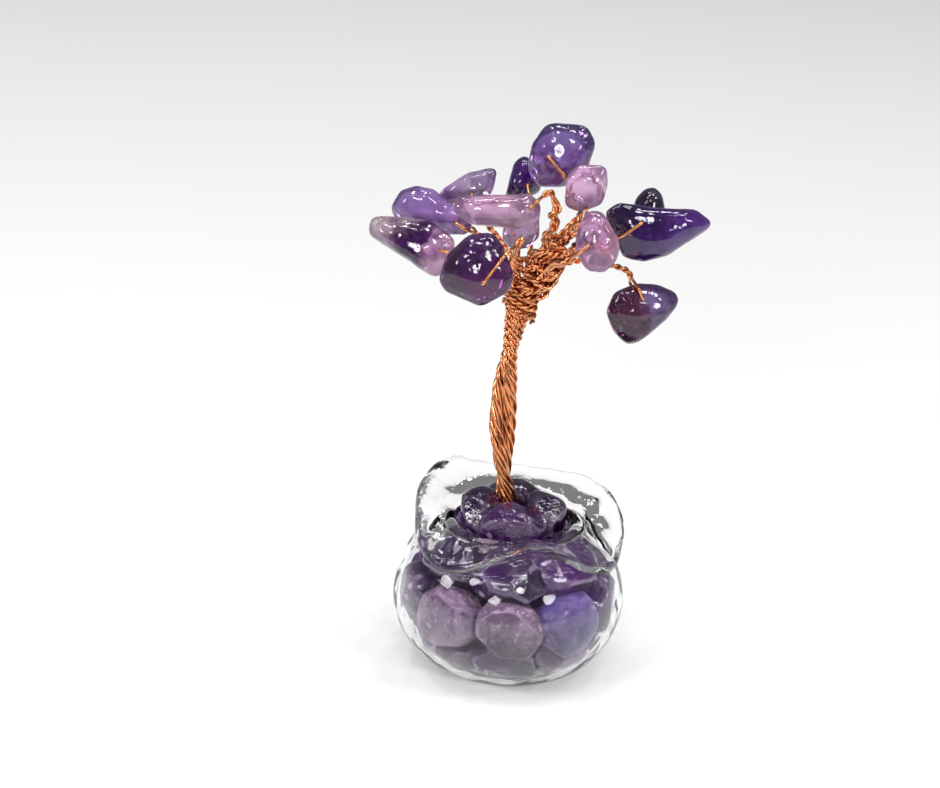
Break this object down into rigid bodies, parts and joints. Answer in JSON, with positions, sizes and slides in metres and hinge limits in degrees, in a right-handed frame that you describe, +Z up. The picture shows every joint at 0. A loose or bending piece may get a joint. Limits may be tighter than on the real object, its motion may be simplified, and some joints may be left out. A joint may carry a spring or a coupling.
{
  "type": "gemstone tree ornament",
  "caption": "Miniature tree of drilled tumbled stones on twisted copper wires, bound into a trunk that stands in a ruffled clear glass pot filled with stone chips.",
  "frame": {"origin": "centre of the flat foot of the pot, on the surface that it stands on", "axes": "+Z up along the tree, +X to the right of the side that faces the viewer, -Y towards the viewer"},
  "size_m": [0.0367, 0.026, 0.0626],
  "materials": {
    "clear_glass": "clear blown glass, fire polished",
    "clear_glue": "clear set glue",
    "copper_wire": "bright copper wire",
    "chip_stone": "tumbled amethyst chips",
    "amethyst_dark": "polished dark amethyst",
    "amethyst_mid": "polished amethyst",
    "amethyst_pale": "polished pale amethyst"
  },
  "bodies": {
    "pot_and_wires": {"glass_pot": "clear_glass", "glue_puddle": "clear_glue", "crown_binding": "copper_wire", "chips_low_ring": "chip_stone", "chips_mid_ring": "chip_stone", "chips_high_ring": "chip_stone", "chips_core_1": "chip_stone", "chips_core_2": "chip_stone", "chips_core_3": "chip_stone", "chips_core_4": "chip_stone", "top_wire": "copper_wire", "rear_wire": "copper_wire", "left_point_wire": "copper_wire", "left_dome_wire": "copper_wire", "left_tip_wire": "copper_wire", "left_bar_wire": "copper_wire", "left_pale_wire": "copper_wire", "left_front_wire": "copper_wire", "right_cube_wire": "copper_wire", "right_drop_wire": "copper_wire", "right_leaf_wire": "copper_wire", "right_rear_wire": "copper_wire", "hanging_wire": "copper_wire"},
    "top_stone": {"top_stone": "amethyst_mid"},
    "rear_stone": {"rear_stone": "amethyst_dark"},
    "left_point_stone": {"left_point_stone": "amethyst_pale"},
    "left_dome_stone": {"left_dome_stone": "amethyst_mid"},
    "left_tip_stone": {"left_tip_stone": "amethyst_dark"},
    "left_bar_stone": {"left_bar_stone": "amethyst_pale"},
    "left_pale_stone": {"left_pale_stone": "amethyst_pale"},
    "left_front_stone": {"left_front_stone": "amethyst_dark"},
    "right_cube_stone": {"right_cube_stone": "amethyst_pale"},
    "right_drop_stone": {"right_drop_stone": "amethyst_pale"},
    "right_leaf_stone": {"right_leaf_stone": "amethyst_dark"},
    "right_rear_stone": {"right_rear_stone": "amethyst_dark"},
    "hanging_stone": {"hanging_stone": "amethyst_mid"}
  },
  "joints": [
    {"name": "top_stone_turn", "type": "hinge", "parent": "pot_and_wires", "child": "top_stone", "pos_m": [0.0013, 0.002, 0.0589], "axis": [-0.1014, -0.965, 0.2419], "range_deg": [-18, 18]},
    {"name": "rear_stone_turn", "type": "hinge", "parent": "pot_and_wires", "child": "rear_stone", "pos_m": [-0.00129, 0.00841, 0.05339], "axis": [0.2364, -0.8824, 0.4067], "range_deg": [-20, 20]},
    {"name": "left_point_stone_turn", "type": "hinge", "parent": "pot_and_wires", "child": "left_point_stone", "pos_m": [-0.00655, 0.00751, 0.05219], "axis": [-0.1869, -0.8792, 0.4384], "range_deg": [-14, 14]},
    {"name": "left_dome_stone_turn", "type": "hinge", "parent": "pot_and_wires", "child": "left_dome_stone", "pos_m": [-0.00791, 0.00301, 0.05054], "axis": [-0.2347, -0.9415, 0.2419], "range_deg": [-14, 14]},
    {"name": "left_tip_stone_turn", "type": "hinge", "parent": "pot_and_wires", "child": "left_tip_stone", "pos_m": [-0.00953, -0.00247, 0.049], "axis": [-0.1308, -0.9305, 0.342], "range_deg": [-16, 16]},
    {"name": "left_bar_stone_turn", "type": "hinge", "parent": "pot_and_wires", "child": "left_bar_stone", "pos_m": [-0.00072, -0.00409, 0.05477], "axis": [0.0655, -0.9374, 0.342], "range_deg": [-12, 12]},
    {"name": "left_pale_stone_turn", "type": "hinge", "parent": "pot_and_wires", "child": "left_pale_stone", "pos_m": [-0.0014, -0.00005, 0.05013], "axis": [0, -0.9613, 0.2756], "range_deg": [-20, 20]},
    {"name": "left_front_stone_turn", "type": "hinge", "parent": "pot_and_wires", "child": "left_front_stone", "pos_m": [-0.00463, -0.00985, 0.04782], "axis": [-0.161, -0.9131, 0.3746], "range_deg": [-18, 18]},
    {"name": "right_cube_stone_turn", "type": "hinge", "parent": "pot_and_wires", "child": "right_cube_stone", "pos_m": [0.00505, -0.00368, 0.05594], "axis": [0.135, -0.9609, -0.2419], "range_deg": [-20, 20]},
    {"name": "right_drop_stone_turn", "type": "hinge", "parent": "pot_and_wires", "child": "right_drop_stone", "pos_m": [0.00538, -0.00864, 0.05248], "axis": [0.1308, -0.9305, 0.342], "range_deg": [-18, 18]},
    {"name": "right_leaf_stone_turn", "type": "hinge", "parent": "pot_and_wires", "child": "right_leaf_stone", "pos_m": [0.01109, 0.0004, 0.05267], "axis": [0.1669, -0.9467, 0.2756], "range_deg": [-14, 14]},
    {"name": "right_rear_stone_turn", "type": "hinge", "parent": "pot_and_wires", "child": "right_rear_stone", "pos_m": [0.01196, 0.00532, 0.05223], "axis": [0.352, -0.8713, 0.342], "range_deg": [-20, 20]},
    {"name": "hanging_stone_turn", "type": "hinge", "parent": "pot_and_wires", "child": "hanging_stone", "pos_m": [0.01176, -0.00088, 0.04484], "axis": [0.2068, -0.9728, 0.1045], "range_deg": [-30, 30]}
  ]
}
